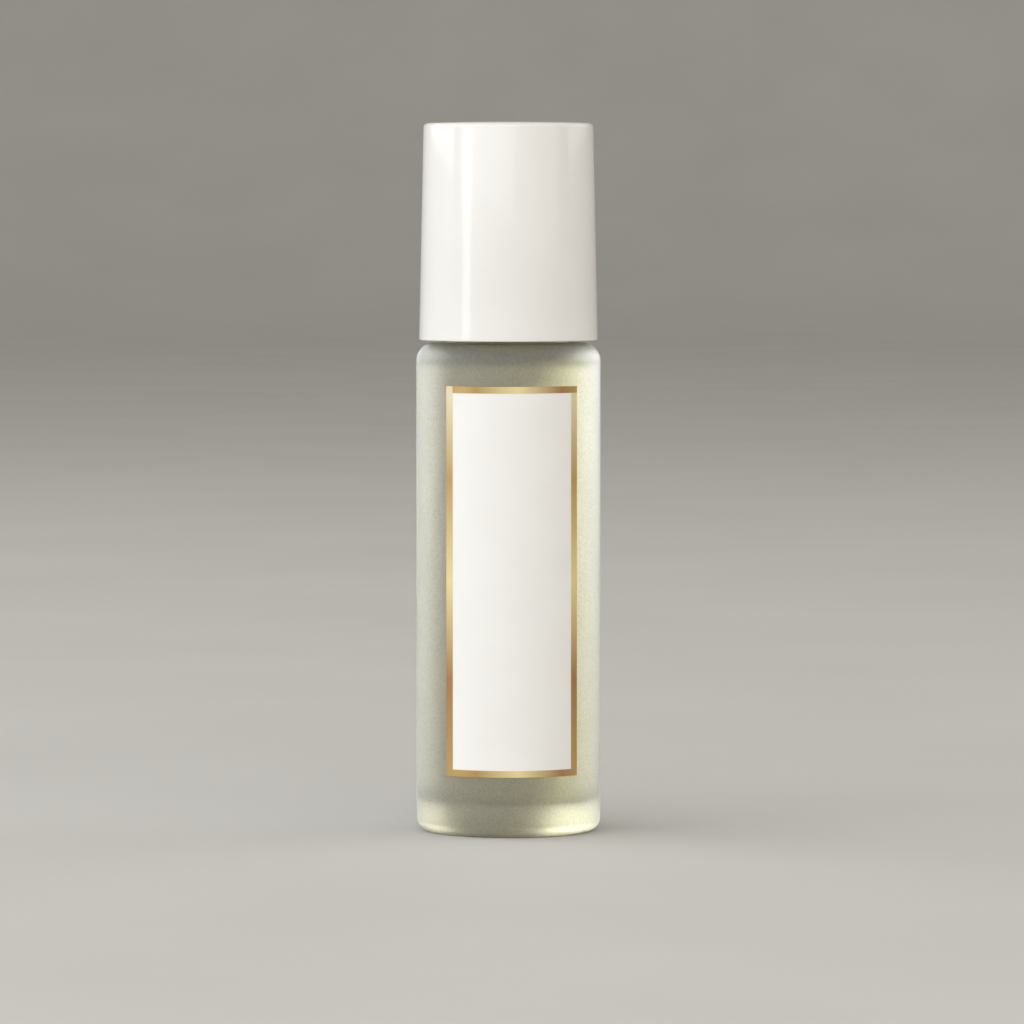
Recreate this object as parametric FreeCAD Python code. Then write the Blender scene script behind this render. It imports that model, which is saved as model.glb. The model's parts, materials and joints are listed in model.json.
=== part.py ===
import FreeCAD, Part
import math
import os

# Roll on bottle: a frosted glass bottle with a roller ball, a screw cap and a front label.
# Lengths are in millimetres. +Z is up, the label faces -Y, and the origin is the middle of the foot.

# Glass body
body_diameter = 20.0
body_height = 53.1
body_wall = 1.5
floor_thickness = 3.4
shoulder_thickness = 1.8
shoulder_radius = 2.0
heel_radius = 1.3
cavity_floor_radius = 1.8
cavity_shoulder_radius = 1.4
bore_root_radius = 0.7
push_up_depth = 0.6
standing_ring_width = 1.2

# Glass neck
neck_wall = 1.55
neck_height = 10.9
neck_root_radius = 0.8
rim_radius = 0.4

# Screw thread of the neck and the cap
thread_pitch = 3.0
thread_depth = 0.65
thread_clearance = 0.2
thread_flank_gap = 0.2
thread_root_width = 1.6
thread_crest_width = 0.8
thread_sink = 0.3
neck_thread_lead = 2.4
neck_thread_turns = 1.6
cap_thread_turns = 1.3
cap_thread_delay_turns = 0.1
runout_turns = 0.2
sections_per_turn = 24

# Liquid
fill_gap = 1.0

# Roller ball and its housing
ball_clearance = 0.05
cup_wall = 1.0
cup_setback = 0.4
cup_round_radius = 0.6
lip_hold = 0.35
lip_wall = 0.5
lip_round_radius = 0.2
flange_thickness = 1.0
flange_setback = 0.05
flange_round_radius = 0.2
plug_clearance = 0.15
plug_length = 6.0
plug_wall = 0.9
plug_lead_radius = 0.3
seat_wall = 0.6
seat_floor = 1.0
seat_shelf = 1.55
feed_cone_height = 0.8
feed_slot_count = 3
feed_slot_width = 0.9
feed_slot_margin = 0.65
seal_rib_count = 3
seal_rib_height = 0.6
seal_rib_crest_height = 0.2
seal_rib_spacing = 1.3
seal_rib_press = 0.03

# Sealing liner
seal_gap = 0.2
dish_depth = 0.7
liner_stem_height = 1.8
liner_flange_thickness = 0.9
liner_clearance = 0.06
liner_round_radius = 0.2

# Inner cap
insert_wall = 0.8
insert_top_wall = 1.2
insert_recess = 0.5
insert_round_radius = 0.4
boss_gap = 1.74
boss_wall = 1.0
bead_reach = 0.5
bead_height = 0.5
boss_round_radius = 0.2
key_count = 12
key_width = 0.9
key_depth = 0.3
key_side_clearance = 0.05

# Outer cap
cap_setback = 0.75
shell_wall = 1.05
shell_top_wall = 1.9
shell_draft_degrees = 1.2
shell_head_clearance = 0.1
head_gap = 0.1
cap_shoulder_gap = 0.3
cap_edge_radius = 0.5
cap_foot_radius = 0.15
cap_crown_rise = 0.2

# Label
label_width = 15.4
label_turn_degrees = 2.8
label_foot_margin = 5.3
label_shoulder_margin = 2.5
film_thickness = 0.08
foil_thickness = 0.03
foil_side_width = 0.85
foil_end_width = 0.72

# One overrun serves all cuts
overrun = 1.0

# Radii, from the body inwards, so that the ball is as large as the neck takes.
# The cap's setback is measured level with the inner cap's top.
body_radius = body_diameter / 2
cavity_radius = body_radius - body_wall
film_radius = body_radius + film_thickness
foil_radius = film_radius + foil_thickness
outer_head_radius = body_radius - cap_setback
inner_head_radius = outer_head_radius - shell_wall
insert_radius = inner_head_radius - shell_head_clearance
key_floor_radius = insert_radius - key_depth
insert_bore_radius = insert_radius - insert_wall
cap_crest_radius = insert_bore_radius - thread_depth
boss_radius = insert_bore_radius - boss_gap
boss_bore_radius = boss_radius - boss_wall
bead_radius = boss_bore_radius - bead_reach
liner_radius = boss_bore_radius - liner_clearance
stem_radius = bead_radius - liner_clearance
neck_crest_radius = insert_bore_radius - thread_clearance
neck_radius = neck_crest_radius - thread_depth
bore_radius = neck_radius - neck_wall
plug_radius = bore_radius - plug_clearance
feed_radius = plug_radius - plug_wall
throat_radius = feed_radius - seat_shelf
flange_radius = neck_radius - flange_setback
cup_radius = neck_radius - cup_setback
seat_radius = cup_radius - cup_wall
ball_radius = seat_radius - ball_clearance
lip_radius = ball_radius - lip_hold

# Heights, from the foot upwards
rim_height = body_height + neck_height
cavity_top = body_height - shoulder_thickness
plug_foot = rim_height - plug_length
fill_level = plug_foot - fill_gap
flange_top = rim_height + flange_thickness
ball_height = rim_height + math.sqrt(seat_radius**2 - (plug_radius - seat_wall) ** 2)
ball_top = ball_height + ball_radius
lip_height = ball_height + math.sqrt(seat_radius**2 - lip_radius**2)
throat_foot = ball_height - math.sqrt(seat_radius**2 - throat_radius**2) - seat_floor
liner_foot = ball_top - dish_depth
liner_flange_foot = liner_foot + liner_stem_height
liner_top = liner_flange_foot + liner_flange_thickness
bead_top = liner_flange_foot - liner_clearance
boss_foot = bead_top - bead_height
insert_top = liner_top + insert_top_wall
shell_ceiling = insert_top + head_gap
cap_top = shell_ceiling + shell_top_wall
cap_foot = body_height + cap_shoulder_gap
insert_foot = cap_foot + insert_recess
label_foot = heel_radius + label_foot_margin
label_top = body_height - shoulder_radius - label_shoulder_margin

# The neck's ridge lies above the cap's, with the flank gap between their facing flanks
neck_thread_height = body_height + neck_thread_lead + thread_root_width / 2
flank_run = (thread_root_width - thread_crest_width) / 2
flank_overlap = thread_root_width - flank_run * (thread_depth + thread_clearance) / thread_depth
cap_thread_height = neck_thread_height - flank_overlap - thread_flank_gap

origin = FreeCAD.Vector(0, 0, 0)
up = FreeCAD.Vector(0, 0, 1)


def fitted_roundings(points, roundings):
    """Tangent lengths and radii of the corners, limited where two roundings would share a run."""
    count = len(points)
    tangents = []
    for i in range(count):
        back = points[i - 1] - points[i]
        ahead = points[(i + 1) % count] - points[i]
        tangents.append(roundings[i] / math.tan(back.getAngle(ahead) / 2))
    limits = []
    for i in range(count):
        run = (points[(i + 1) % count] - points[i]).Length
        wanted = tangents[i] + tangents[(i + 1) % count]
        limits.append(min(1, run / wanted) if wanted > 0 else 1)
    shares = [min(limits[i - 1], limits[i]) for i in range(count)]
    return [(tangents[i] * shares[i], roundings[i] * shares[i]) for i in range(count)]


def outline(corners):
    """Closed wire through (radius, height, rounding) corners in the XZ plane."""
    points = [FreeCAD.Vector(radius, 0, height) for radius, height, rounding in corners]
    fitted = fitted_roundings(points, [rounding for radius, height, rounding in corners])
    edges = []
    starts = []
    ends = []
    for i, (tangent, rounding) in enumerate(fitted):
        back = (points[i - 1] - points[i]).normalize()
        ahead = (points[(i + 1) % len(points)] - points[i]).normalize()
        starts.append(points[i] + back * tangent)
        ends.append(points[i] + ahead * tangent)
    for i, (tangent, rounding) in enumerate(fitted):
        if starts[i].distanceToPoint(ends[i - 1]) > Part.Precision.confusion():
            edges.append(Part.LineSegment(ends[i - 1], starts[i]).toShape())
        if rounding > 0:
            inward = ((starts[i] + ends[i]) / 2 - points[i]).normalize()
            middle = points[i] + inward * (math.hypot(tangent, rounding) - rounding)
            edges.append(Part.Arc(starts[i], middle, ends[i]).toShape())
    return Part.Wire(edges)


def turned(corners):
    """Solid of revolution about Z of an outline."""
    return Part.Face(outline(corners)).revolve(origin, up, 360)


def ball_shape(radius, height):
    """Sphere on the Z axis."""
    return Part.makeSphere(radius, FreeCAD.Vector(0, 0, height))


def radial_bar(inner, outer, width, foot, top):
    """Upright bar that points along +X, between two distances from the axis."""
    corner = FreeCAD.Vector(inner, -width / 2, foot)
    return Part.makeBox(outer - inner, width, top - foot, corner)


def ring_of(shape, count):
    """Evenly spaced copies of a shape round the Z axis."""
    copies = []
    for i in range(count):
        copy = shape.copy()
        copy.rotate(origin, up, 360 * i / count)
        copies.append(copy)
    return copies


def thread_ridge(root_radius, crest_radius, height, first_turn, turns):
    """Helical ridge on a wall of root_radius that rises from the wall and sinks back at its ends."""
    sink = math.copysign(thread_sink, root_radius - crest_radius)
    steps = round(turns * sections_per_turn)
    sections = []
    for step in range(steps + 1):
        turn = turns * step / steps
        share = min(1, turn / runout_turns, (turns - turn) / runout_turns)
        rise_share = (1 - math.cos(math.pi * share)) / 2
        low_crest = root_radius + sink / 2
        crest = low_crest + (crest_radius - low_crest) * rise_share
        middle = height + thread_pitch * (first_turn + turn)
        corners = [
            FreeCAD.Vector(root_radius + sink, 0, middle - thread_root_width / 2),
            FreeCAD.Vector(crest, 0, middle - thread_crest_width / 2),
            FreeCAD.Vector(crest, 0, middle + thread_crest_width / 2),
            FreeCAD.Vector(root_radius + sink, 0, middle + thread_root_width / 2),
        ]
        section = Part.makePolygon(corners + corners[:1])
        section.rotate(origin, up, 360 * (first_turn + turn))
        sections.append(section)
    return Part.makeLoft(sections, True)


def cavity(top):
    """Space inside the glass, up to the given height in the neck's bore."""
    return turned(
        [
            (0, floor_thickness, 0),
            (cavity_radius, floor_thickness, cavity_floor_radius),
            (cavity_radius, cavity_top, cavity_shoulder_radius),
            (bore_radius, cavity_top, bore_root_radius),
            (bore_radius, top, 0),
            (0, top, 0),
        ]
    )


def push_up():
    """Ball that hollows the underside, so that the bottle stands on a ring."""
    reach = body_radius - heel_radius - standing_ring_width
    radius = (reach**2 + push_up_depth**2) / (2 * push_up_depth)
    return ball_shape(radius, push_up_depth - radius)


def make_glass_bottle():
    """Body, shoulder and threaded neck in one piece of glass."""
    outside = turned(
        [
            (0, 0, 0),
            (body_radius, 0, heel_radius),
            (body_radius, body_height, shoulder_radius),
            (neck_radius, body_height, neck_root_radius),
            (neck_radius, rim_height, rim_radius),
            (0, rim_height, 0),
        ]
    )
    ridge = thread_ridge(neck_radius, neck_crest_radius, neck_thread_height, 0, neck_thread_turns)
    return outside.cut(push_up()).fuse(ridge).cut(cavity(rim_height + overrun))


def make_perfume_fill():
    """Liquid, filled into the neck."""
    return cavity(fill_level)


def seal_rib_corners():
    """Corners of the sealing ribs, which press into the neck's bore."""
    rib_radius = bore_radius + seal_rib_press
    corners = []
    for i in range(seal_rib_count):
        middle = (plug_foot + rim_height) / 2 + seal_rib_spacing * (i - (seal_rib_count - 1) / 2)
        corners += [
            (plug_radius, middle - seal_rib_height / 2, 0),
            (rib_radius, middle - seal_rib_crest_height / 2, 0),
            (rib_radius, middle + seal_rib_crest_height / 2, 0),
            (plug_radius, middle + seal_rib_height / 2, 0),
        ]
    return corners


def make_roller_housing():
    """Plug, flange and ball cup in one moulding."""
    outside = turned(
        [(0, plug_foot, 0), (plug_radius, plug_foot, plug_lead_radius)]
        + seal_rib_corners()
        + [
            (plug_radius, rim_height, 0),
            (flange_radius, rim_height, flange_round_radius),
            (flange_radius, flange_top, flange_round_radius),
            (cup_radius, flange_top, 0),
            (cup_radius, ball_height, cup_round_radius),
            (lip_radius + lip_wall, lip_height, lip_round_radius),
            (0, lip_height, 0),
        ]
    )
    feed = turned(
        [
            (0, plug_foot - overrun, 0),
            (feed_radius, plug_foot - overrun, 0),
            (feed_radius, throat_foot - feed_cone_height, 0),
            (throat_radius, throat_foot, 0),
            (throat_radius, ball_height, 0),
            (0, ball_height, 0),
        ]
    )
    slot_reach = feed_radius - feed_slot_margin
    slot = radial_bar(0, slot_reach, feed_slot_width, throat_foot - feed_cone_height, ball_height)
    seat = ball_shape(seat_radius, ball_height)
    return outside.cut([seat, feed] + ring_of(slot, feed_slot_count))


def make_roller_ball():
    """Steel ball, held by the lip of the cup."""
    return ball_shape(ball_radius, ball_height)


def make_cap_liner():
    """Soft pad with a dish over the ball and a flange that the bead in the inner cap traps."""
    pad = turned(
        [
            (0, liner_foot, 0),
            (stem_radius, liner_foot, liner_round_radius),
            (stem_radius, liner_flange_foot, 0),
            (liner_radius, liner_flange_foot, liner_round_radius),
            (liner_radius, liner_top, liner_round_radius),
            (0, liner_top, 0),
        ]
    )
    return pad.cut(ball_shape(ball_radius + seal_gap, ball_height))


def make_cap_insert():
    """Threaded inner cap, with grooves for the outer cap's keys and a boss for the liner."""
    cup = turned(
        [
            (insert_bore_radius, insert_foot, 0),
            (insert_radius, insert_foot, insert_round_radius),
            (insert_radius, insert_top, insert_round_radius),
            (0, insert_top, 0),
            (0, liner_top, 0),
            (boss_bore_radius, liner_top, 0),
            (boss_bore_radius, bead_top, 0),
            (bead_radius, bead_top, 0),
            (bead_radius, boss_foot, boss_round_radius),
            (boss_radius, boss_foot, boss_round_radius),
            (boss_radius, liner_top, boss_round_radius),
            (insert_bore_radius, liner_top, insert_round_radius),
        ]
    )
    ridge = thread_ridge(
        insert_bore_radius, cap_crest_radius, cap_thread_height, cap_thread_delay_turns, cap_thread_turns
    )
    groove_width = key_width + 2 * key_side_clearance
    groove = radial_bar(
        key_floor_radius, insert_radius + overrun, groove_width, insert_foot - overrun, insert_top + overrun
    )
    return cup.fuse(ridge).cut(ring_of(groove, key_count))


def make_cap_shell():
    """Glossy outer cap, with keys that hold the inner cap."""
    draft = math.tan(math.radians(shell_draft_degrees))
    inner_foot_radius = inner_head_radius + draft * (insert_top - cap_foot)
    inner_ceiling_radius = inner_head_radius - draft * (shell_ceiling - insert_top)
    outer_top_radius = outer_head_radius - draft * (cap_top - insert_top)
    crown_radius = (outer_top_radius**2 + cap_crown_rise**2) / (2 * cap_crown_rise)
    outside = turned(
        [
            (0, cap_foot, 0),
            (inner_foot_radius + shell_wall, cap_foot, cap_foot_radius),
            (outer_top_radius, cap_top, 0),
            (0, cap_top, 0),
        ]
    )
    crowned = outside.common(ball_shape(crown_radius, cap_top - crown_radius))
    edge_height = cap_top - cap_crown_rise
    edges = [e for e in crowned.Edges if abs(e.BoundBox.Center.z - edge_height) < cap_crown_rise / 2]
    rounded = crowned.makeFillet(cap_edge_radius, edges)
    hollow = turned(
        [
            (0, cap_foot - overrun, 0),
            (inner_foot_radius + draft * overrun, cap_foot - overrun, 0),
            (inner_ceiling_radius, shell_ceiling, insert_round_radius),
            (0, shell_ceiling, 0),
        ]
    )
    key = radial_bar(key_floor_radius, inner_foot_radius, key_width, insert_foot, shell_ceiling)
    keys = [copy.common(hollow) for copy in ring_of(key, key_count)]
    return rounded.cut(hollow).fuse(keys)


def wall_patch(inner_radius, outer_radius, width, foot, top):
    """Thin curved patch on the front of the body; its width is measured round the glass."""
    sweep = math.degrees(width / body_radius)
    base = FreeCAD.Vector(0, 0, foot)
    wedge = Part.makeCylinder(outer_radius, top - foot, base, up, sweep)
    patch = wedge.cut(Part.makeCylinder(inner_radius, top - foot, base, up))
    patch.rotate(origin, up, label_turn_degrees - 90 - sweep / 2)
    return patch


def make_label_film():
    """White label on the glass."""
    return wall_patch(body_radius, film_radius, label_width, label_foot, label_top)


def make_label_foil_border():
    """Gold foil frame along the label's edges."""
    frame = wall_patch(film_radius, foil_radius, label_width, label_foot, label_top)
    window_width = label_width - 2 * foil_side_width
    window_foot = label_foot + foil_end_width
    window_top = label_top - foil_end_width
    return frame.cut(wall_patch(film_radius, foil_radius, window_width, window_foot, window_top))


nodes = {
    "glass_bottle": make_glass_bottle(),
    "perfume_fill": make_perfume_fill(),
    "roller_housing": make_roller_housing(),
    "roller_ball": make_roller_ball(),
    "cap_liner": make_cap_liner(),
    "cap_insert": make_cap_insert(),
    "cap_shell": make_cap_shell(),
    "label_film": make_label_film(),
    "label_foil_border": make_label_foil_border(),
}
os.makedirs("parts", exist_ok=True)
for name, shape in nodes.items():
    shape.exportStep(f"parts/{name}.step")
    print(name, "solids", len(shape.Solids), "valid", shape.isValid(), "volume", round(shape.Volume, 2))
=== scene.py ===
"""Looks of a roll on bottle: frosted glass, a steel roller, a gloss white screw cap and a gold-edged label.

Lengths are in metres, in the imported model's own frame: +Z is up along the bottle and the label faces -Y.
"""

import json
import logging
import math
from dataclasses import dataclass, field
from enum import Enum

import bmesh
import bpy
from mathutils import Matrix, Vector

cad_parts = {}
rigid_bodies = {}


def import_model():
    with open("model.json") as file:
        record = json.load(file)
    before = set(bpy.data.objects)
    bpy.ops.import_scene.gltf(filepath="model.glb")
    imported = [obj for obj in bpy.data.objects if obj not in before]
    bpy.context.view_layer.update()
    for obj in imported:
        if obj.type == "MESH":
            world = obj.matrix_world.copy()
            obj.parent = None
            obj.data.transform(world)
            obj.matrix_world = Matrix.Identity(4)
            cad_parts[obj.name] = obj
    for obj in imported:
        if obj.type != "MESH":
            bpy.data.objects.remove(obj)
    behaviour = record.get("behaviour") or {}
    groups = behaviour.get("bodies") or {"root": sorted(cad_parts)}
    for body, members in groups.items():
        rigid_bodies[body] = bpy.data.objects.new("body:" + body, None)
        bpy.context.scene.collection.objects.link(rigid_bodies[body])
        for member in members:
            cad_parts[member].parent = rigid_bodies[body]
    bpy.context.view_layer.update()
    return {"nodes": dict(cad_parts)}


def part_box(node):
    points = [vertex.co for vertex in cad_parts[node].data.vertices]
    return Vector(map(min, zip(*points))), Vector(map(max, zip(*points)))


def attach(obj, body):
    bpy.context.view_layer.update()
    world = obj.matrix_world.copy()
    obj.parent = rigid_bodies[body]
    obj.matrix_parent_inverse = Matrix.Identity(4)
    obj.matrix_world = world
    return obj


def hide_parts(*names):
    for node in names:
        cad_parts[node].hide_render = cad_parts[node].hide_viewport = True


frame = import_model()

MM = 0.001
IMAGE_WIDTH_PX = 1024
MERGE_DISTANCE = 0.001 * MM
NOISE_LOW = 0.3
NOISE_HIGH = 0.7

Colour = tuple[float, float, float]
log = logging.getLogger("roll_on_bottle")


class Body(Enum):
    """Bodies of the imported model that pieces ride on."""

    BOTTLE = "bottle"
    BALL = "ball"
    LINER = "liner"
    CAP = "cap"


class Node(Enum):
    """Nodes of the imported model."""

    GLASS = "glass_bottle"
    PERFUME = "perfume_fill"
    HOUSING = "roller_housing"
    BALL = "roller_ball"
    LINER = "cap_liner"
    INSERT = "cap_insert"
    SHELL = "cap_shell"
    FILM = "label_film"
    FOIL = "label_foil_border"


class Slot(Enum):
    """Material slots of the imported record."""

    GLASS = "frosted_glass"
    PERFUME = "perfume"
    BALL = "ball_steel"
    LINER = "liner_foam"
    SHELL = "cap_plastic"
    FILM = "label_white"
    FOIL = "label_gold"


RIM_LIT = (Node.GLASS, Node.PERFUME)


def reach(node: Node) -> float:
    """Distance from the axis to the widest point of a node along +X."""
    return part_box(node.value)[1].x


def foot(node: Node) -> float:
    """Height of a node's lowest point."""
    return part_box(node.value)[0].z


def top(node: Node) -> float:
    """Height of a node's highest point."""
    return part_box(node.value)[1].z


class Graph:
    """Node tree of one material, with short ways to add its nodes."""

    def __init__(self, name: str) -> None:
        """Starts an empty tree with a Principled shader on its output.

        Args:
            name: Name of the material.
        """
        self.material = bpy.data.materials.new(name)
        self.material.use_nodes = True
        self.tree = self.material.node_tree
        self.tree.nodes.clear()
        self.output = self.add("ShaderNodeOutputMaterial")
        self.shader = self.add("ShaderNodeBsdfPrincipled")
        self.join(self.shader.outputs["BSDF"], self.output.inputs["Surface"])
        coordinates = self.add("ShaderNodeTexCoord")
        self.place = coordinates.outputs["Object"]
        self.sheet_place = coordinates.outputs["UV"]

    def add(self, kind: str, settings: dict | None = None, **values: object) -> bpy.types.Node:
        """Adds a node.

        Args:
            kind: Node type.
            settings: Properties of the node itself.
            values: Input values or sockets, by input name with underscores for spaces.

        Returns:
            The new node.
        """
        node = self.tree.nodes.new(kind)
        for name, value in (settings or {}).items():
            setattr(node, name, value)
        for name, value in values.items():
            self.feed(node.inputs[name.replace("_", " ")], value)
        return node

    def feed(self, socket: bpy.types.NodeSocket, value: object) -> None:
        """Sets an input to a value, or links it where the value is a socket."""
        if isinstance(value, bpy.types.NodeSocket):
            self.join(value, socket)
        elif isinstance(value, tuple) and socket.type == "RGBA":
            socket.default_value = (*value, 1.0)
        else:
            socket.default_value = value

    def join(self, source: bpy.types.NodeSocket, target: bpy.types.NodeSocket) -> None:
        """Links two sockets."""
        self.tree.links.new(source, target)

    def shade(self, **values: object) -> None:
        """Sets or links inputs of the Principled shader."""
        for name, value in values.items():
            self.feed(self.shader.inputs[name.replace("_", " ")], value)

    def maths(self, operation: str, first: object, second: object = 0.0) -> bpy.types.NodeSocket:
        """Adds a Math node.

        Args:
            operation: Operation of the node.
            first: First value or socket.
            second: Second value or socket.

        Returns:
            The result's socket.
        """
        node = self.add("ShaderNodeMath", {"operation": operation})
        self.feed(node.inputs[0], first)
        self.feed(node.inputs[1], second)
        return node.outputs[0]

    def stretched(self, scale: tuple[float, float, float]) -> bpy.types.NodeSocket:
        """Object coordinates, scaled along each axis."""
        return self.add("ShaderNodeMapping", Vector=self.place, Scale=Vector(scale)).outputs["Vector"]

    def noise(
        self,
        size: float,
        detail: float = 2.0,
        roughness: float = 0.5,
        place: bpy.types.NodeSocket | None = None,
    ) -> bpy.types.NodeSocket:
        """Adds a noise whose blobs are about as large as the given length.

        Args:
            size: Length of a blob.
            detail: Octaves of finer noise.
            roughness: Strength of the finer noise.
            place: Coordinates, or None for plain Object coordinates.

        Returns:
            The noise's value, from 0 to 1.
        """
        node = self.add(
            "ShaderNodeTexNoise",
            Vector=place or self.place,
            Scale=1 / size,
            Detail=detail,
            Roughness=roughness,
        )
        return node.outputs[0]

    def spread(self, value: bpy.types.NodeSocket, low: float, high: float) -> bpy.types.NodeSocket:
        """Maps a noise's middle range onto a range of values.

        Args:
            value: The noise.
            low: Result where the noise is weak.
            high: Result where the noise is strong.

        Returns:
            The mapped value.
        """
        node = self.add(
            "ShaderNodeMapRange",
            Value=value,
            From_Min=NOISE_LOW,
            From_Max=NOISE_HIGH,
            To_Min=low,
            To_Max=high,
        )
        return node.outputs["Result"]

    def ramp(self, value: bpy.types.NodeSocket, stops: dict[float, Colour]) -> bpy.types.NodeSocket:
        """Adds a colour ramp.

        Args:
            value: Place on the ramp, from 0 to 1.
            stops: Colour at each place.

        Returns:
            The colour.
        """
        node = self.add("ShaderNodeValToRGB", Fac=value)
        elements = node.color_ramp.elements
        while len(elements) < len(stops):
            elements.new(1.0)
        for element, (place, colour) in zip(elements, sorted(stops.items())):
            element.position = place
            element.color = (*colour, 1.0)
        return node.outputs["Color"]

    def blend(
        self, share: bpy.types.NodeSocket, first: bpy.types.NodeSocket, second: bpy.types.NodeSocket
    ) -> bpy.types.NodeSocket:
        """Mixes two colours.

        Args:
            share: Share of the second colour, from 0 to 1.
            first: First colour.
            second: Second colour.

        Returns:
            The mixed colour.
        """
        node = self.add("ShaderNodeMix", {"data_type": "RGBA"})
        sockets = {socket.identifier: socket for socket in (*node.inputs, *node.outputs)}
        self.join(share, sockets["Factor_Float"])
        self.join(first, sockets["A_Color"])
        self.join(second, sockets["B_Color"])
        return sockets["Result_Color"]

    def bump(self, height: bpy.types.NodeSocket, depth: float) -> bpy.types.NodeSocket:
        """Adds a bump of a real depth.

        Args:
            height: Height, from 0 to 1.
            depth: Depth of the relief.

        Returns:
            The bumped normal.
        """
        return self.add("ShaderNodeBump", Height=height, Strength=1.0, Distance=depth).outputs["Normal"]


@dataclass(frozen=True)
class FrostedGlass:
    """Olive glass, acid-etched outside and fire-polished inside."""

    name: str = "frosted_glass"
    etched_name: str = "etched"
    colour: Colour = (0.98, 0.98, 0.95)
    pit_colour: Colour = (0.72, 0.72, 0.67)
    clear_share: float = 0.88
    tint: Colour = (0.74, 0.71, 0.55)
    strength_per_metre: float = 150.0
    polish: float = 0.03
    smoothest: float = 0.42
    roughest: float = 0.56
    grain: float = 0.24 * MM
    cloud: float = 4.0 * MM
    cloud_share: float = 0.3
    relief: float = 0.015 * MM
    refraction: float = 1.5

    def material(self) -> bpy.types.Material:
        """Builds the material, whose etched faces carry a face attribute of 1."""
        graph = Graph(self.name)
        etched = graph.add("ShaderNodeAttribute", {"attribute_name": self.etched_name}).outputs["Fac"]
        grain = graph.noise(self.grain, detail=2.0, roughness=0.6)
        cloud = graph.noise(self.cloud, detail=3.0)
        fine = graph.maths("MULTIPLY", grain, 1 - self.cloud_share)
        coarse = graph.maths("MULTIPLY", cloud, self.cloud_share)
        etch = graph.spread(graph.maths("ADD", fine, coarse), self.smoothest, self.roughest)
        graph.shade(
            Base_Color=graph.ramp(grain, {NOISE_LOW: self.pit_colour, NOISE_HIGH: self.colour}),
            Transmission_Weight=self.clear_share,
            IOR=self.refraction,
            Roughness=graph.maths("MAXIMUM", graph.maths("MULTIPLY", etch, etched), self.polish),
            Normal=graph.bump(graph.maths("MULTIPLY", grain, etched), self.relief),
        )
        depth = graph.add("ShaderNodeVolumeAbsorption", Color=self.tint, Density=self.strength_per_metre)
        graph.join(depth.outputs["Volume"], graph.output.inputs["Volume"])
        return graph.material


@dataclass(frozen=True)
class Perfume:
    """Pale olive liquid that darkens with depth."""

    name: str = "perfume_liquid"
    colour: Colour = (0.99, 0.99, 0.97)
    tint: Colour = (0.71, 0.66, 0.36)
    strength_per_metre: float = 115.0
    ripple: float = 3.0 * MM
    relief: float = 0.01 * MM
    refraction: float = 1.36

    def material(self) -> bpy.types.Material:
        """Builds the material."""
        graph = Graph(self.name)
        ripple = graph.noise(self.ripple, detail=1.0)
        graph.shade(
            Base_Color=self.colour,
            Transmission_Weight=1.0,
            IOR=self.refraction,
            Roughness=0.0,
            Normal=graph.bump(ripple, self.relief),
        )
        depth = graph.add("ShaderNodeVolumeAbsorption", Color=self.tint, Density=self.strength_per_metre)
        graph.join(depth.outputs["Volume"], graph.output.inputs["Volume"])
        return graph.material


@dataclass(frozen=True)
class GlossPlastic:
    """Injection-moulded white plastic with a polished face."""

    name: str = "gloss_white_plastic"
    colour: Colour = (0.88, 0.875, 0.86)
    shade_colour: Colour = (0.86, 0.853, 0.833)
    smoothest: float = 0.1
    roughest: float = 0.16
    smudge: float = 7.0 * MM
    peel: float = 0.9 * MM
    peel_depth: float = 0.0006 * MM
    coat: float = 0.25
    coat_roughness: float = 0.06

    def material(self) -> bpy.types.Material:
        """Builds the material."""
        graph = Graph(self.name)
        smudge = graph.noise(self.smudge, detail=4.0)
        peel = graph.noise(self.peel, detail=1.0)
        graph.shade(
            Base_Color=graph.ramp(smudge, {NOISE_LOW: self.shade_colour, NOISE_HIGH: self.colour}),
            Roughness=graph.spread(smudge, self.smoothest, self.roughest),
            Coat_Weight=self.coat,
            Coat_Roughness=self.coat_roughness,
            Normal=graph.bump(peel, self.peel_depth),
        )
        return graph.material


@dataclass(frozen=True)
class SatinPlastic:
    """Moulded plastic as it leaves the tool, with a fine spark texture."""

    name: str
    colour: Colour
    shade_colour: Colour
    smoothest: float = 0.3
    roughest: float = 0.45
    mottle: float = 2.5 * MM
    grain: float = 0.12 * MM
    relief: float = 0.004 * MM
    glow: float = 0.15
    glow_depth: float = 0.6 * MM

    def material(self) -> bpy.types.Material:
        """Builds the material."""
        graph = Graph(self.name)
        mottle = graph.noise(self.mottle, detail=3.0)
        grain = graph.noise(self.grain, detail=2.0)
        graph.shade(
            Base_Color=graph.ramp(mottle, {NOISE_LOW: self.shade_colour, NOISE_HIGH: self.colour}),
            Roughness=graph.spread(grain, self.smoothest, self.roughest),
            Subsurface_Weight=self.glow,
            Subsurface_Scale=self.glow_depth,
            Normal=graph.bump(grain, self.relief),
        )
        return graph.material


@dataclass(frozen=True)
class FoamSheet:
    """Closed-cell foam with a skin of small cells."""

    name: str = "liner_foam"
    colour: Colour = (0.86, 0.86, 0.84)
    cell_colour: Colour = (0.74, 0.74, 0.71)
    cell: float = 0.22 * MM
    relief: float = 0.03 * MM
    smoothest: float = 0.55
    roughest: float = 0.75

    def material(self) -> bpy.types.Material:
        """Builds the material."""
        graph = Graph(self.name)
        cells = graph.add("ShaderNodeTexVoronoi", Vector=graph.place, Scale=1 / self.cell).outputs["Distance"]
        graph.shade(
            Base_Color=graph.ramp(cells, {0.1: self.colour, 0.8: self.cell_colour}),
            Roughness=graph.spread(cells, self.smoothest, self.roughest),
            Normal=graph.bump(cells, self.relief),
        )
        return graph.material


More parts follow.
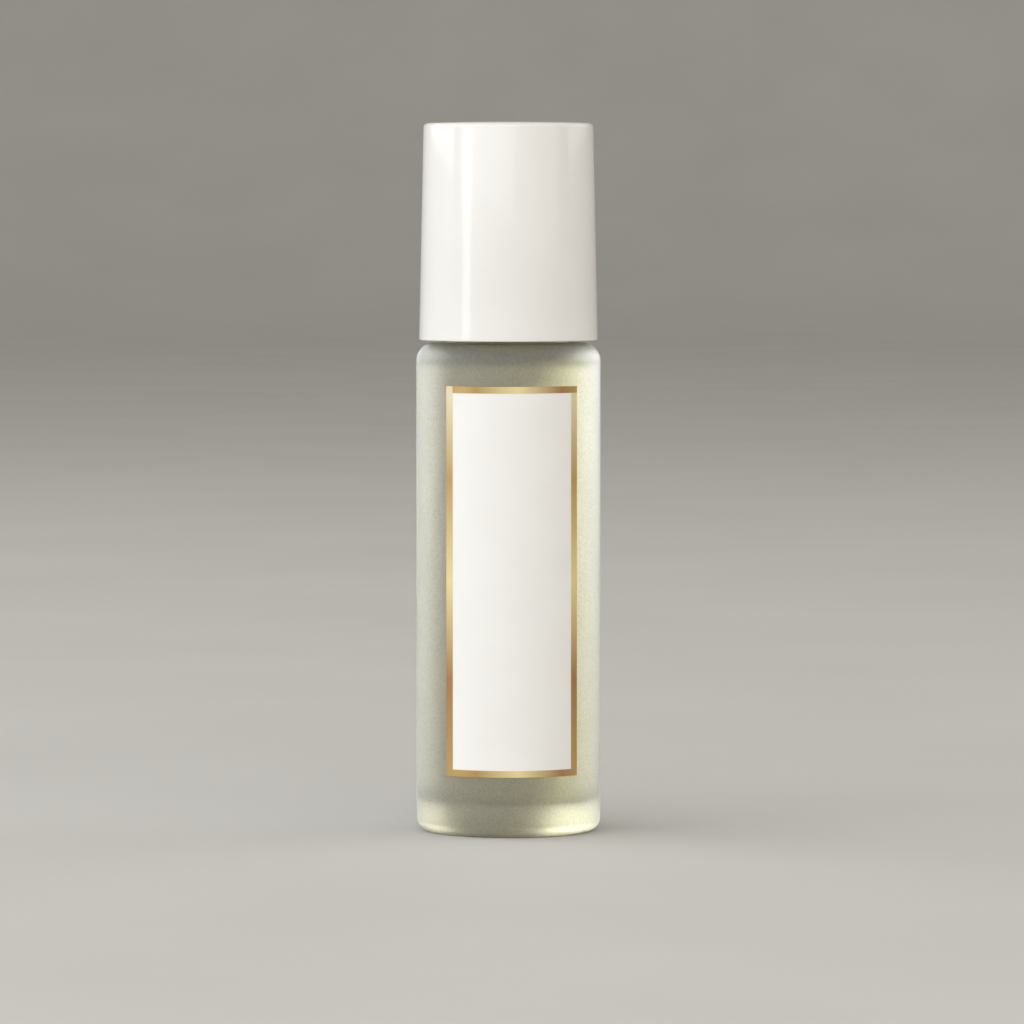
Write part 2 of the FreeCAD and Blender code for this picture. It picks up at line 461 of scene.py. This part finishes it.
@dataclass(frozen=True)
class PolishedSteel:
    """Ground and polished bearing ball with hairline scratches."""

    name: str = "polished_steel"
    colour: Colour = (0.74, 0.745, 0.75)
    haze_colour: Colour = (0.66, 0.665, 0.67)
    smoothest: float = 0.04
    roughest: float = 0.11
    haze: float = 3.0 * MM
    scratch_width: float = 0.05 * MM
    scratch_length: float = 1.4 * MM
    scratch_depth: float = 0.0004 * MM

    def material(self) -> bpy.types.Material:
        """Builds the material."""
        graph = Graph(self.name)
        haze = graph.noise(self.haze, detail=3.0)
        scale = (self.scratch_width / self.scratch_length, 1.0, 1.0)
        scratches = graph.noise(self.scratch_width, detail=1.0, place=graph.stretched(scale))
        graph.shade(
            Base_Color=graph.ramp(haze, {NOISE_LOW: self.haze_colour, NOISE_HIGH: self.colour}),
            Metallic=1.0,
            Roughness=graph.spread(haze, self.smoothest, self.roughest),
            Normal=graph.bump(scratches, self.scratch_depth),
        )
        return graph.material


@dataclass(frozen=True)
class LabelFilm:
    """Satin white label film with a fine tooth."""

    name: str = "label_film"
    colour: Colour = (0.9, 0.9, 0.885)
    shade_colour: Colour = (0.875, 0.873, 0.855)
    smoothest: float = 0.38
    roughest: float = 0.52
    mottle: float = 5.0 * MM
    tooth: float = 0.1 * MM
    relief: float = 0.002 * MM

    def material(self) -> bpy.types.Material:
        """Builds the material."""
        graph = Graph(self.name)
        mottle = graph.noise(self.mottle, detail=4.0)
        tooth = graph.noise(self.tooth, detail=2.0)
        graph.shade(
            Base_Color=graph.ramp(mottle, {NOISE_LOW: self.shade_colour, NOISE_HIGH: self.colour}),
            Roughness=graph.spread(tooth, self.smoothest, self.roughest),
            Normal=graph.bump(tooth, self.relief),
        )
        return graph.material


@dataclass(frozen=True)
class GoldFoil:
    """Hot-stamped foil whose base colour carries a painted reflection: bands of gold, from pale to copper,
    run along the border.
    """

    side_share: float
    end_share: float
    name: str = "gold_foil"
    pale: Colour = (0.84, 0.76, 0.5)
    painted_highlight: Colour = (0.88, 0.76, 0.38)
    gold: Colour = (0.56, 0.37, 0.135)
    painted_shade_gold: Colour = (0.45, 0.29, 0.1)
    copper: Colour = (0.43, 0.22, 0.09)
    metal: float = 0.4
    smoothest: float = 0.3
    roughest: float = 0.38
    grain: float = 0.3 * MM
    relief: float = 0.0004 * MM

    def material(self) -> bpy.types.Material:
        """Builds the material, which follows the sheet's own UV map: across the label, then up it."""
        graph = Graph(self.name)
        axes = graph.add("ShaderNodeSeparateXYZ", Vector=graph.sheet_place)
        across, up = axes.outputs["X"], axes.outputs["Y"]
        # The ramps' stops are a painted reflection of the lamps on the foil: a painted highlight band between
        # darker painted shade bands of gold and copper.
        sides = graph.ramp(
            up, {0.0: self.gold, 0.25: self.copper, 0.5: self.painted_highlight, 0.76: self.gold, 0.97: self.pale}
        )
        ends = graph.ramp(
            across, {0.07: self.gold, 0.24: self.painted_shade_gold, 0.54: self.painted_highlight, 0.86: self.copper, 1.0: self.gold}
        )
        above = graph.maths("GREATER_THAN", up, 1 - self.end_share)
        below = graph.maths("LESS_THAN", up, self.end_share)
        inside = graph.maths("GREATER_THAN", across, self.side_share)
        on_ends = graph.maths("MULTIPLY", graph.maths("ADD", above, below), inside)
        grain = graph.noise(self.grain, detail=2.0)
        graph.shade(
            Base_Color=graph.blend(on_ends, sides, ends),
            Metallic=self.metal,
            Roughness=graph.spread(grain, self.smoothest, self.roughest),
            Normal=graph.bump(grain, self.relief),
        )
        return graph.material


@dataclass(frozen=True)
class Corner:
    """Corner of a turned outline: distance from the axis, height and rounding."""

    radius: float
    height: float
    rounding: float = 0.0


def dome(radius: float, centre_height: float, edge_height: float, count: int) -> list[Corner]:
    """Corners of a shallow dome, from the axis outwards.

    Args:
        radius: Radius of the dome's edge.
        centre_height: Height on the axis.
        edge_height: Height of the edge.
        count: Number of spans.

    Returns:
        The corners, the axis first.
    """
    rise = centre_height - edge_height
    ball = (radius**2 + rise**2) / (2 * abs(rise))
    corners = []
    for i in range(count + 1):
        distance = radius * i / count
        drop = ball - math.sqrt(ball**2 - distance**2)
        corners.append(Corner(distance, centre_height - math.copysign(drop, rise)))
    return corners


class Lathe:
    """Turns outlines about the Z axis into one mesh."""

    def __init__(self, steps: int) -> None:
        """Starts an empty mesh.

        Args:
            steps: Number of faces round the axis.
        """
        self.bm = bmesh.new()
        self.steps = steps

    def draw(self, corners: list[Corner], segments: int = 8) -> None:
        """Draws a wire through the corners in the XZ plane and rounds them.

        Args:
            corners: Corners of the outline, in order.
            segments: Number of spans in each rounding.
        """
        verts = [self.bm.verts.new((corner.radius, 0.0, corner.height)) for corner in corners]
        for pair in zip(verts, verts[1:]):
            self.bm.edges.new(pair)
        tangents = []
        for before, corner, after in zip(verts, verts[1:], verts[2:]):
            turn = (before.co - corner.co).angle(after.co - corner.co)
            tangents.append(1 / math.tan(turn / 2))
        for vert, corner, tangent in zip(verts[1:], corners[1:], tangents):
            if corner.rounding > 0:
                bmesh.ops.bevel(
                    self.bm,
                    geom=[vert],
                    offset=corner.rounding * tangent,
                    offset_type="OFFSET",
                    segments=segments,
                    profile=0.5,
                    affect="VERTICES",
                    material=-1,
                )

    def divide(self, radius: float, spacing: float) -> None:
        """Divides the upright run of the wire at a radius, so that it can be shaped after turning.

        Args:
            radius: Distance of the run from the axis.
            spacing: Length of the new spans.
        """
        runs = [
            edge
            for edge in self.bm.edges
            if edge.is_wire and all(abs(vert.co.x - radius) < MERGE_DISTANCE for vert in edge.verts)
        ]
        for run in runs:
            bmesh.ops.subdivide_edges(self.bm, edges=[run], cuts=round(run.calc_length() / spacing))

    def turn(self) -> list[bmesh.types.BMFace]:
        """Turns the wire about the axis.

        Returns:
            The new faces.
        """
        old = set(self.bm.faces)
        wire = [edge for edge in self.bm.edges if edge.is_wire]
        ends = list({vert for edge in wire for vert in edge.verts})
        bmesh.ops.spin(
            self.bm,
            geom=ends + wire,
            cent=(0.0, 0.0, 0.0),
            axis=(0.0, 0.0, 1.0),
            angle=math.tau,
            steps=self.steps,
            use_merge=True,
        )
        return [face for face in self.bm.faces if face not in old]

    def close(self) -> bmesh.types.BMesh:
        """Merges seams and poles, turns the faces outwards and returns the mesh."""
        bmesh.ops.remove_doubles(self.bm, verts=self.bm.verts, dist=MERGE_DISTANCE)
        bmesh.ops.dissolve_degenerate(self.bm, edges=self.bm.edges, dist=MERGE_DISTANCE)
        bmesh.ops.recalc_face_normals(self.bm, faces=self.bm.faces)
        return self.bm


def look_name(node: Node) -> str:
    """Name of the piece that stands for a node."""
    return f"{node.value}_look"


def finished(
    node: Node, bm: bmesh.types.BMesh, body: Body, sharp_degrees: float = 40.0
) -> bpy.types.Object:
    """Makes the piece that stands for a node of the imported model.

    Args:
        node: Node that the piece replaces.
        bm: Its mesh, which is freed.
        body: Body that it rides on.
        sharp_degrees: Edges that turn by more than this stay sharp.

    Returns:
        The new object.
    """
    name = look_name(node)
    mesh = bpy.data.meshes.new(name)
    bm.to_mesh(mesh)
    bm.free()
    mesh.shade_smooth()
    mesh.set_sharp_from_angle(angle=math.radians(sharp_degrees))
    piece = bpy.data.objects.new(name, mesh)
    bpy.context.scene.collection.objects.link(piece)
    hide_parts(node.value)
    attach(piece, body.value)
    log.info("%s: %d faces, rides on %s", name, len(mesh.polygons), body.value)
    return piece


def dress_node(node: Node, material: bpy.types.Material) -> None:
    """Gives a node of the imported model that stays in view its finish.

    Args:
        node: The node.
        material: Its finish.
    """
    for slot in frame["nodes"][node.value].material_slots:
        slot.material = material
    log.info("%s: kept, dressed in %s", node.value, material.name)


@dataclass
class GlassBottle:
    """Etched glass bottle with its screw neck, and the perfume in it."""

    body_radius: float = field(default_factory=lambda: reach(Node.GLASS))
    rim_height: float = field(default_factory=lambda: top(Node.GLASS))
    cavity_radius: float = field(default_factory=lambda: reach(Node.PERFUME))
    floor_height: float = field(default_factory=lambda: foot(Node.PERFUME))
    fill_level: float = field(default_factory=lambda: top(Node.PERFUME))
    body_height: float = 53.1 * MM
    shoulder_thickness: float = 1.8 * MM
    heel_radius: float = 1.3 * MM
    shoulder_radius: float = 2.0 * MM
    cavity_floor_radius: float = 1.8 * MM
    cavity_shoulder_radius: float = 1.4 * MM
    bore_root_radius: float = 0.7 * MM
    push_up_depth: float = 0.6 * MM
    standing_ring_width: float = 1.2 * MM
    neck_radius: float = 6.45 * MM
    neck_root_radius: float = 0.8 * MM
    bore_radius: float = 4.9 * MM
    rim_radius: float = 0.4 * MM
    bore_edge_radius: float = 0.2 * MM
    thread_pitch: float = 3.0 * MM
    thread_depth: float = 0.65 * MM
    thread_root_width: float = 1.6 * MM
    thread_crest_width: float = 0.8 * MM
    thread_sink: float = 0.3 * MM
    thread_start: float = 56.3 * MM
    thread_turns: float = 1.6
    runout_turns: float = 0.2
    thread_spacing: float = 0.1 * MM
    wetting: float = 0.01 * MM
    meniscus_width: float = 1.2 * MM
    meniscus_depth: float = 0.45 * MM
    steps: int = 192
    dome_spans: int = 10

    def cavity_top(self) -> float:
        """Height of the cavity's ceiling under the shoulder."""
        return self.body_height - self.shoulder_thickness

    def thread_rise(self, angle: float, height: float) -> float:
        """Rise of the thread's ridge above the neck.

        Args:
            angle: Angle round the axis from +X, from 0 to a full turn.
            height: Height of the point.

        Returns:
            The rise, 0 off the ridge.
        """
        rise = 0.0
        turn = angle / math.tau
        while turn <= self.thread_turns:
            share = min(1.0, turn / self.runout_turns, (self.thread_turns - turn) / self.runout_turns)
            grown_share = (1 - math.cos(math.pi * share)) / 2
            crest = (self.thread_depth + self.thread_sink / 2) * grown_share - self.thread_sink / 2
            away = abs(height - self.thread_start - self.thread_pitch * turn)
            flank = (self.thread_root_width - self.thread_crest_width) / 2
            down_share = (away - self.thread_crest_width / 2) / flank
            rise = max(rise, crest - (crest + self.thread_sink) * max(0.0, down_share))
            turn += 1
        return rise

    def build_glass(self) -> bpy.types.Object:
        """Turns the outer and the inner face of the glass and raises the thread on its neck."""
        lathe = Lathe(self.steps)
        ring_radius = self.body_radius - self.heel_radius - self.standing_ring_width
        lathe.draw(
            dome(ring_radius, self.push_up_depth, 0.0, self.dome_spans)
            + [
                Corner(self.body_radius, 0.0, self.heel_radius),
                Corner(self.body_radius, self.body_height, self.shoulder_radius),
                Corner(self.neck_radius, self.body_height, self.neck_root_radius),
                Corner(self.neck_radius, self.rim_height, self.rim_radius),
                Corner(self.bore_radius, self.rim_height, self.bore_edge_radius),
                Corner(self.bore_radius, self.rim_height - self.rim_radius),
            ],
            segments=12,
        )
        lathe.divide(self.neck_radius, self.thread_spacing)
        etched = lathe.bm.faces.layers.float.new(FrostedGlass.etched_name)
        for face in lathe.turn():
            face[etched] = 1.0
        lathe.draw(
            [
                Corner(self.bore_radius, self.rim_height - self.rim_radius),
                Corner(self.bore_radius, self.cavity_top(), self.bore_root_radius),
                Corner(self.cavity_radius, self.cavity_top(), self.cavity_shoulder_radius),
                Corner(self.cavity_radius, self.floor_height, self.cavity_floor_radius),
                Corner(0.0, self.floor_height),
            ],
            segments=10,
        )
        lathe.turn()
        bm = lathe.close()
        for vert in bm.verts:
            distance = math.hypot(vert.co.x, vert.co.y)
            if abs(distance - self.neck_radius) < MERGE_DISTANCE:
                rise = self.thread_rise(math.atan2(vert.co.y, vert.co.x) % math.tau, vert.co.z)
                vert.co.xy *= 1 + rise / distance
        return finished(Node.GLASS, bm, Body.BOTTLE)

    def build_perfume(self) -> bpy.types.Object:
        """Turns the liquid, which wets the glass and climbs it a little at its surface."""
        lathe = Lathe(self.steps)
        wall = self.cavity_radius + self.wetting
        bore = self.bore_radius + self.wetting
        ceiling = self.cavity_top() + self.wetting
        level = self.fill_level - self.meniscus_depth
        lathe.draw(
            [
                Corner(0.0, self.floor_height - self.wetting),
                Corner(wall, self.floor_height - self.wetting, self.cavity_floor_radius),
                Corner(wall, ceiling, self.cavity_shoulder_radius),
                Corner(bore, ceiling, self.bore_root_radius),
                Corner(bore, self.fill_level),
                Corner(bore - self.meniscus_width / 2, level, self.meniscus_width / 2),
                Corner(0.0, level),
            ],
            segments=10,
        )
        lathe.turn()
        return finished(Node.PERFUME, lathe.close(), Body.BOTTLE)

    def dress(self, glass: bpy.types.Object, perfume: bpy.types.Object) -> None:
        """Frosts the glass and colours the perfume."""
        glass.data.materials.append(FrostedGlass().material())
        perfume.data.materials.append(Perfume().material())

    def make(self) -> None:
        """Builds and dresses the bottle."""
        self.dress(self.build_glass(), self.build_perfume())


@dataclass
class Roller:
    """Steel ball in its moulded housing."""

    ball_radius: float = field(default_factory=lambda: reach(Node.BALL))
    ball_top: float = field(default_factory=lambda: top(Node.BALL))
    ball_subdivisions: int = 6

    def build_ball(self) -> bpy.types.Object:
        """Makes the ball in its seat."""
        bm = bmesh.new()
        bmesh.ops.create_icosphere(bm, subdivisions=self.ball_subdivisions, radius=self.ball_radius)
        bmesh.ops.translate(bm, verts=bm.verts, vec=(0.0, 0.0, self.ball_top - self.ball_radius))
        return finished(Node.BALL, bm, Body.BALL)

    def dress(self, ball: bpy.types.Object) -> None:
        """Polishes the ball and gives the housing its natural plastic."""
        ball.data.materials.append(PolishedSteel().material())
        natural = SatinPlastic(
            name="natural_plastic", colour=(0.84, 0.85, 0.84), shade_colour=(0.79, 0.805, 0.795), glow=0.35
        )
        dress_node(Node.HOUSING, natural.material())

    def make(self) -> None:
        """Builds and dresses the roller."""
        self.dress(self.build_ball())


@dataclass
class ScrewCap:
    """Gloss outer cap on its threaded inner cap, with the sealing liner."""

    foot_height: float = field(default_factory=lambda: foot(Node.SHELL))
    top_height: float = field(default_factory=lambda: top(Node.SHELL))
    foot_radius: float = field(default_factory=lambda: reach(Node.SHELL))
    insert_foot: float = field(default_factory=lambda: foot(Node.INSERT))
    insert_top: float = field(default_factory=lambda: top(Node.INSERT))
    insert_radius: float = field(default_factory=lambda: reach(Node.INSERT))
    liner_foot: float = field(default_factory=lambda: foot(Node.LINER))
    liner_top: float = field(default_factory=lambda: top(Node.LINER))
    liner_radius: float = field(default_factory=lambda: reach(Node.LINER))
    ball_radius: float = field(default_factory=lambda: reach(Node.BALL))
    ball_top: float = field(default_factory=lambda: top(Node.BALL))
    draft_degrees: float = 1.2
    wall: float = 1.05 * MM
    head_gap: float = 0.1 * MM
    edge_radius: float = 0.5 * MM
    foot_round: float = 0.15 * MM
    ceiling_round: float = 0.4 * MM
    crown_rise: float = 0.2 * MM
    key_count: int = 12
    key_width: float = 0.9 * MM
    key_depth: float = 0.3 * MM
    flange_step: float = 0.5 * MM
    flange_thickness: float = 0.9 * MM
    liner_round: float = 0.2 * MM
    dish_clearance: float = 0.2 * MM
    steps: int = 192
    dome_spans: int = 10

    def outer_radius(self, height: float) -> float:
        """Radius of the outer cap's drafted face at a height."""
        return self.foot_radius - math.tan(math.radians(self.draft_degrees)) * (height - self.foot_height)

    def add_keys(self, bm: bmesh.types.BMesh, ceiling: float) -> None:
        """Adds the upright keys that hold the inner cap.

        Args:
            bm: Mesh of the outer cap.
            ceiling: Height of its ceiling.
        """
        inner = self.insert_radius - self.key_depth
        outer = self.outer_radius(self.foot_height) - self.wall
        centre = ((inner + outer) / 2, 0.0, (ceiling + self.insert_foot) / 2)
        for i in range(self.key_count):
            cube = bmesh.ops.create_cube(bm, size=1.0)["verts"]
            bmesh.ops.scale(bm, verts=cube, vec=(outer - inner, self.key_width, ceiling - self.insert_foot))
            bmesh.ops.translate(bm, verts=cube, vec=centre)
            turn = Matrix.Rotation(math.tau * i / self.key_count, 3, "Z")
            bmesh.ops.rotate(bm, verts=cube, cent=(0.0, 0.0, 0.0), matrix=turn)

    def build_shell(self) -> bpy.types.Object:
        """Turns the outer cap's wall and crown, and adds its keys."""
        ceiling = self.insert_top + self.head_gap
        edge_height = self.top_height - self.crown_rise
        crown = dome(self.outer_radius(edge_height), self.top_height, edge_height, self.dome_spans)
        edge = Corner(crown[-1].radius, edge_height, self.edge_radius)
        lathe = Lathe(self.steps)
        lathe.draw(
            crown[:-1]
            + [
                edge,
                Corner(self.outer_radius(self.foot_height), self.foot_height, self.foot_round),
                Corner(self.outer_radius(self.foot_height) - self.wall, self.foot_height, self.foot_round),
                Corner(self.outer_radius(ceiling) - self.wall, ceiling, self.ceiling_round),
                Corner(0.0, ceiling),
            ]
        )
        lathe.turn()
        bm = lathe.close()
        self.add_keys(bm, ceiling)
        return finished(Node.SHELL, bm, Body.CAP)

    def build_liner(self) -> bpy.types.Object:
        """Turns the foam liner, a flange in the inner cap with a stem that is dished to clear the ball."""
        ball_centre = self.ball_top - self.ball_radius
        dish_radius = self.ball_radius + self.dish_clearance
        rim_radius = math.sqrt(dish_radius**2 - (self.liner_foot - ball_centre) ** 2)
        stem_radius = self.liner_radius - self.flange_step
        flange_foot = self.liner_top - self.flange_thickness
        lathe = Lathe(self.steps)
        lathe.draw(
            dome(rim_radius, ball_centre + dish_radius, self.liner_foot, self.dome_spans)
            + [
                Corner(stem_radius, self.liner_foot, self.liner_round),
                Corner(stem_radius, flange_foot),
                Corner(self.liner_radius, flange_foot, self.liner_round),
                Corner(self.liner_radius, self.liner_top, self.liner_round),
                Corner(0.0, self.liner_top),
            ]
        )
        lathe.turn()
        liner = finished(Node.LINER, lathe.close(), Body.LINER)
        return liner

    def dress(self, shell: bpy.types.Object, liner: bpy.types.Object) -> None:
        """Gives the outer cap its gloss, and the inner pieces theirs."""
        shell.data.materials.append(GlossPlastic().material())
        liner.data.materials.append(FoamSheet().material())
        inner = SatinPlastic(
            name="inner_cap_plastic", colour=(0.85, 0.85, 0.83), shade_colour=(0.81, 0.81, 0.785)
        )
        dress_node(Node.INSERT, inner.material())

    def make(self) -> None:
        """Builds and dresses the cap."""
        self.dress(self.build_shell(), self.build_liner())


@dataclass
class FrontLabel:
    """White label film wrapped on the glass, with a foil border."""

    glass_radius: float = field(default_factory=lambda: reach(Node.GLASS))
    foot_height: float = field(default_factory=lambda: foot(Node.FILM))
    top_height: float = field(default_factory=lambda: top(Node.FILM))
    width: float = 15.4 * MM
    turn_degrees: float = 2.8
    glue: float = 0.006 * MM
    film_thickness: float = 0.08 * MM
    foil_thickness: float = 0.03 * MM
    foil_side_width: float = 0.85 * MM
    foil_end_width: float = 0.72 * MM
    spans: int = 64

    def wrap(self, bm: bmesh.types.BMesh, radius: float, thickness: float) -> None:
        """Cuts a flat sheet into upright strips, gives it its thickness and bends it round the glass.

        Args:
            bm: Flat sheet in the XY plane, X round the glass and Y up.
            radius: Radius of the sheet's inner face.
            thickness: Thickness of the sheet.
        """
        for i in range(1, self.spans):
            bmesh.ops.bisect_plane(
                bm,
                geom=bm.verts[:] + bm.edges[:] + bm.faces[:],
                dist=MERGE_DISTANCE,
                plane_co=(self.width * (i / self.spans - 0.5), 0.0, 0.0),
                plane_no=(1.0, 0.0, 0.0),
            )
        rise = bmesh.ops.extrude_face_region(bm, geom=bm.faces[:])["geom"]
        lifted = [item for item in rise if isinstance(item, bmesh.types.BMVert)]
        bmesh.ops.translate(bm, verts=lifted, vec=(0.0, 0.0, thickness))
        sheet = bm.loops.layers.uv.new("sheet")
        for loop in (loop for face in bm.faces for loop in face.loops):
            up_share = (loop.vert.co.y - self.foot_height) / (self.top_height - self.foot_height)
            loop[sheet].uv = (loop.vert.co.x / self.width + 0.5, up_share)
        for vert in bm.verts:
            angle = vert.co.x / self.glass_radius + math.radians(self.turn_degrees)
            distance = radius + vert.co.z
            vert.co = (distance * math.sin(angle), -distance * math.cos(angle), vert.co.y)
        bmesh.ops.recalc_face_normals(bm, faces=bm.faces)

    def flat_sheet(self, side_width: float, end_width: float) -> bmesh.types.BMesh:
        """Makes a flat sheet of three by three panels.

        Args:
            side_width: Width of the outer panels.
            end_width: Height of the upper and lower panels.

        Returns:
            The sheet, in the XY plane.
        """
        bm = bmesh.new()
        panels = 3
        half = panels / 2
        bmesh.ops.create_grid(bm, x_segments=panels, y_segments=panels, size=half)
        columns = [-self.width / 2, side_width - self.width / 2, self.width / 2 - side_width, self.width / 2]
        rows = [
            self.foot_height,
            self.foot_height + end_width,
            self.top_height - end_width,
            self.top_height,
        ]
        for vert in bm.verts:
            vert.co.x = columns[round(vert.co.x + half)]
            vert.co.y = rows[round(vert.co.y + half)]
        return bm

    def build_film(self) -> bpy.types.Object:
        """Makes the film."""
        bm = self.flat_sheet(self.foil_side_width, self.foil_end_width)
        self.wrap(bm, self.glass_radius + self.glue, self.film_thickness - self.glue)
        return finished(Node.FILM, bm, Body.BOTTLE)

    def build_foil(self) -> bpy.types.Object:
        """Makes the foil frame."""
        bm = self.flat_sheet(self.foil_side_width, self.foil_end_width)
        centre_height = (self.foot_height + self.top_height) / 2
        middle = min(
            bm.faces,
            key=lambda face: (face.calc_center_median() - Vector((0.0, centre_height, 0.0))).length,
        )
        bmesh.ops.delete(bm, geom=[middle], context="FACES")
        self.wrap(bm, self.glass_radius + self.film_thickness + self.glue, self.foil_thickness - self.glue)
        return finished(Node.FOIL, bm, Body.BOTTLE)

    def dress(self, film: bpy.types.Object, foil: bpy.types.Object) -> None:
        """Gives the film its white and the border its gold."""
        film.data.materials.append(LabelFilm().material())
        gold = GoldFoil(
            side_share=self.foil_side_width / self.width,
            end_share=self.foil_end_width / (self.top_height - self.foot_height),
        )
        foil.data.materials.append(gold.material())

    def make(self) -> None:
        """Builds and dresses the label."""
        self.dress(self.build_film(), self.build_foil())


@dataclass(frozen=True)
class SoftBox:
    """Rectangular studio lamp that faces the bottle, and lights only some nodes where any are named."""

    name: str
    azimuth_degrees: float
    elevation_degrees: float
    distance: float
    width: float
    height: float
    watts: float
    colour: Colour = (1.0, 1.0, 1.0)
    lit_nodes: tuple[Node, ...] = ()
    in_gloss: bool = True
    target_height: float = 40.0 * MM

    def place(self) -> None:
        """Adds the lamp. Azimuth 0 is on the camera's side and 90 is on the label's right."""
        lamp = bpy.data.lights.new(self.name, "AREA")
        lamp.shape = "RECTANGLE"
        lamp.size = self.width
        lamp.size_y = self.height
        lamp.energy = self.watts
        lamp.color = self.colour
        azimuth = math.radians(self.azimuth_degrees)
        elevation = math.radians(self.elevation_degrees)
        away = Vector(
            (
                math.sin(azimuth) * math.cos(elevation),
                -math.cos(azimuth) * math.cos(elevation),
                math.sin(elevation),
            )
        )
        holder = bpy.data.objects.new(self.name, lamp)
        holder.location = Vector((0.0, 0.0, self.target_height)) + away * self.distance
        holder.rotation_mode = "QUATERNION"
        holder.rotation_quaternion = (-away).to_track_quat("-Z", "Y")
        holder.visible_camera = False
        holder.visible_glossy = self.in_gloss
        if self.lit_nodes:
            lit = bpy.data.collections.new(f"{self.name}_lit")
            for node in self.lit_nodes:
                lit.objects.link(bpy.data.objects[look_name(node)])
            holder.light_linking.receiver_collection = lit
        bpy.context.scene.collection.objects.link(holder)
        log.info("%s: lamp of %.1f W", self.name, self.watts)


@dataclass
class Studio:
    """Pale floor that sweeps up all round, soft lamps, an even surround and the camera."""

    floor_radius: float = 2.6
    floor_sweep: float = 0.5
    floor_rim: float = 0.7
    floor_colour: Colour = (0.66, 0.655, 0.64)
    floor_shade: Colour = (0.63, 0.625, 0.61)
    floor_mottle: float = 60.0 * MM
    floor_roughness: float = 0.7
    floor_steps: int = 96
    surround: Colour = (0.41, 0.395, 0.365)
    camera_distance: float = 684.7 * MM
    camera_height: float = 70.5 * MM
    camera_aside: float = 0.39 * MM
    camera_pitch_degrees: float = 2.996
    camera_focal_px: float = 6303.0
    sensor_width_mm: float = 36.0
    lamps: tuple[SoftBox, ...] = (
        SoftBox(
            name="key_lamp",
            azimuth_degrees=-30.0,
            elevation_degrees=28.0,
            distance=1.1,
            width=1.8,
            height=0.95,
            watts=7.9,
            colour=(0.98, 0.99, 1.0),
        ),
        SoftBox(
            name="fill_lamp",
            azimuth_degrees=40.0,
            elevation_degrees=26.0,
            distance=1.0,
            width=1.2,
            height=0.9,
            watts=2.1,
            colour=(1.0, 0.9, 0.78),
        ),
        SoftBox(
            name="left_side_lamp",
            azimuth_degrees=-104.0,
            elevation_degrees=22.0,
            distance=0.9,
            width=0.85,
            height=0.5,
            watts=2.9,
        ),
        SoftBox(
            name="right_side_lamp",
            azimuth_degrees=112.0,
            elevation_degrees=22.0,
            distance=0.9,
            width=0.8,
            height=0.5,
            watts=1.3,
            colour=(1.0, 0.95, 0.88),
        ),
        SoftBox(
            name="strip_lamp",
            azimuth_degrees=-56.0,
            elevation_degrees=2.0,
            distance=0.6,
            width=0.12,
            height=0.5,
            watts=0.4,
        ),
        SoftBox(
            name="left_rim_lamp",
            azimuth_degrees=-137.0,
            elevation_degrees=12.2,
            distance=1.0,
            width=1.0,
            height=0.5,
            watts=16.5,
            colour=(0.86, 0.91, 1.0),
            lit_nodes=RIM_LIT,
            in_gloss=False,
        ),
        SoftBox(
            name="right_rim_lamp",
            azimuth_degrees=125.0,
            elevation_degrees=12.2,
            distance=1.0,
            width=0.86,
            height=0.5,
            watts=12.0,
            colour=(0.88, 0.92, 1.0),
            lit_nodes=RIM_LIT,
        ),
    )

    def build_floor(self) -> None:
        """Turns the floor and its swept rim."""
        lathe = Lathe(self.floor_steps)
        lathe.draw(
            [
                Corner(0.0, 0.0),
                Corner(self.floor_radius, 0.0, self.floor_sweep),
                Corner(self.floor_radius, self.floor_rim),
            ],
            segments=16,
        )
        lathe.turn()
        bm = lathe.close()
        mesh = bpy.data.meshes.new("floor")
        bm.to_mesh(mesh)
        bm.free()
        mesh.shade_smooth()
        graph = Graph("pale_floor")
        mottle = graph.noise(self.floor_mottle, detail=4.0)
        graph.shade(
            Base_Color=graph.ramp(mottle, {NOISE_LOW: self.floor_shade, NOISE_HIGH: self.floor_colour}),
            Roughness=self.floor_roughness,
        )
        mesh.materials.append(graph.material)
        floor = bpy.data.objects.new("floor", mesh)
        bpy.context.scene.collection.objects.link(floor)

    def build_surround(self) -> None:
        """Lights everything evenly from all round."""
        world = bpy.data.worlds.new("surround")
        world.use_nodes = True
        world.node_tree.nodes["Background"].inputs["Color"].default_value = (*self.surround, 1.0)
        bpy.context.scene.world = world

    def build_camera(self) -> None:
        """Puts the camera where the photograph was taken from."""
        lens = bpy.data.cameras.new("camera")
        lens.sensor_width = self.sensor_width_mm
        lens.lens = self.sensor_width_mm * self.camera_focal_px / IMAGE_WIDTH_PX
        holder = bpy.data.objects.new("camera", lens)
        holder.location = (self.camera_aside, -self.camera_distance, self.camera_height)
        holder.rotation_euler = (math.radians(90 - self.camera_pitch_degrees), 0.0, 0.0)
        bpy.context.scene.collection.objects.link(holder)
        bpy.context.scene.camera = holder

    def make(self) -> None:
        """Builds the studio."""
        self.build_floor()
        self.build_surround()
        for lamp in self.lamps:
            lamp.place()
        self.build_camera()
        bpy.context.scene.view_settings.view_transform = "Standard"


def main() -> None:
    """Builds the pieces in order, then the studio."""
    logging.basicConfig(level=logging.INFO, format="%(message)s")
    for assembly in (GlassBottle(), Roller(), ScrewCap(), FrontLabel(), Studio()):
        assembly.make()


if __name__ == "__main__":
    main()
